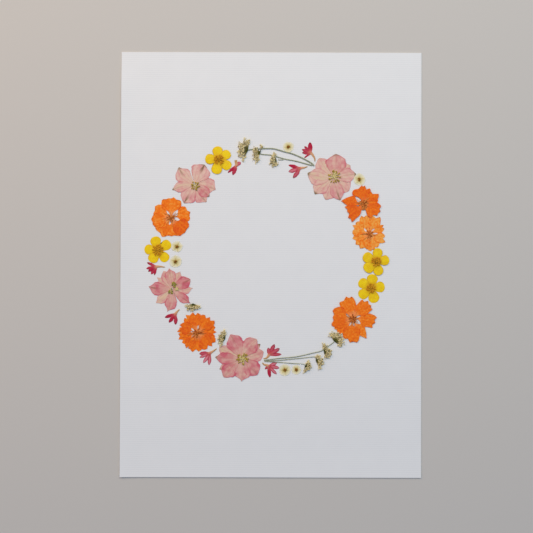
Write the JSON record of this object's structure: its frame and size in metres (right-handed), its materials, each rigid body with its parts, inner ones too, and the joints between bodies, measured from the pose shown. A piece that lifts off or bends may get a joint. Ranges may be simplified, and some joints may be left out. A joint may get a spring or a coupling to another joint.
{
  "type": "pressed flower wreath card",
  "caption": "Flat sheet of white laid card with an oval wreath of pressed flowers fixed to its face, leaving the middle bare for a message or picture.",
  "frame": {"origin": "middle of the card's underside", "axes": "+Y towards the card's top edge, along its long side; +X to the right; +Z out of the face that carries the flowers"},
  "size_m": [0.21, 0.297, 0.0019],
  "materials": {
    "card": "matte, fine laid lines",
    "larkspur_petal": "matte, dried petal",
    "larkspur_stamen": "matte, dried",
    "cosmos_petal": "matte, dried petal",
    "cosmos_floret": "matte, dried",
    "buttercup_petal": "satin, dried petal",
    "buttercup_centre": "matte, dried",
    "cream_flower": "matte, dried petal",
    "red_floret": "matte, dried petal",
    "lace_stem": "matte, dried stem",
    "lace_umbel": "matte, dried"
  },
  "bodies": {
    "root": {"card": "card", "larkspur_upper_left_petals": "larkspur_petal", "larkspur_upper_left_stamens": "larkspur_stamen", "larkspur_upper_right_petals": "larkspur_petal", "larkspur_upper_right_stamens": "larkspur_stamen", "larkspur_bottom_petals": "larkspur_petal", "larkspur_bottom_stamens": "larkspur_stamen", "larkspur_left_petals": "larkspur_petal", "larkspur_left_stamens": "larkspur_stamen", "cosmos_left_petals": "cosmos_petal", "cosmos_left_centre": "cosmos_floret", "cosmos_lower_left_petals": "cosmos_petal", "cosmos_lower_left_centre": "cosmos_floret", "cosmos_upper_right_petals": "cosmos_petal", "cosmos_upper_right_centre": "cosmos_floret", "cosmos_right_petals": "cosmos_petal", "cosmos_right_centre": "cosmos_floret", "cosmos_lower_right_petals": "cosmos_petal", "cosmos_lower_right_centre": "cosmos_floret", "buttercup_top_left_petals": "buttercup_petal", "buttercup_top_left_centre": "buttercup_centre", "buttercup_right_upper_petals": "buttercup_petal", "buttercup_right_upper_centre": "buttercup_centre", "buttercup_right_lower_petals": "buttercup_petal", "buttercup_right_lower_centre": "buttercup_centre", "buttercup_left_petals": "buttercup_petal", "buttercup_left_centre": "buttercup_centre", "cream_flower_top": "cream_flower", "cream_flower_upper_right": "cream_flower", "cream_flower_left_upper": "cream_flower", "cream_flower_left_lower": "cream_flower", "cream_flower_bottom_left": "cream_flower", "cream_flower_bottom_right": "cream_flower", "red_floret_top_left": "red_floret", "red_floret_top_right": "red_floret", "red_floret_top_middle": "red_floret", "red_floret_bottom_upper": "red_floret", "red_floret_bottom_lower": "red_floret", "red_floret_lower_left": "red_floret", "red_floret_left_lower": "red_floret", "red_floret_left": "red_floret", "lace_top_stem_upper": "lace_stem", "lace_top_stem_lower": "lace_stem", "lace_top_branch": "lace_stem", "lace_bottom_stem_upper": "lace_stem", "lace_bottom_stem_middle": "lace_stem", "lace_bottom_stem_lower": "lace_stem", "lace_top_umbel_left": "lace_umbel", "lace_top_umbel_middle": "lace_umbel", "lace_top_umbel_right": "lace_umbel", "lace_bottom_umbel_right": "lace_umbel", "lace_bottom_umbel_upper": "lace_umbel", "lace_bottom_umbel_lower": "lace_umbel", "lace_bottom_umbel_left": "lace_umbel", "lace_loose_umbel_left": "lace_umbel", "lace_loose_umbel_lower": "lace_umbel"}
  },
  "joints": []
}
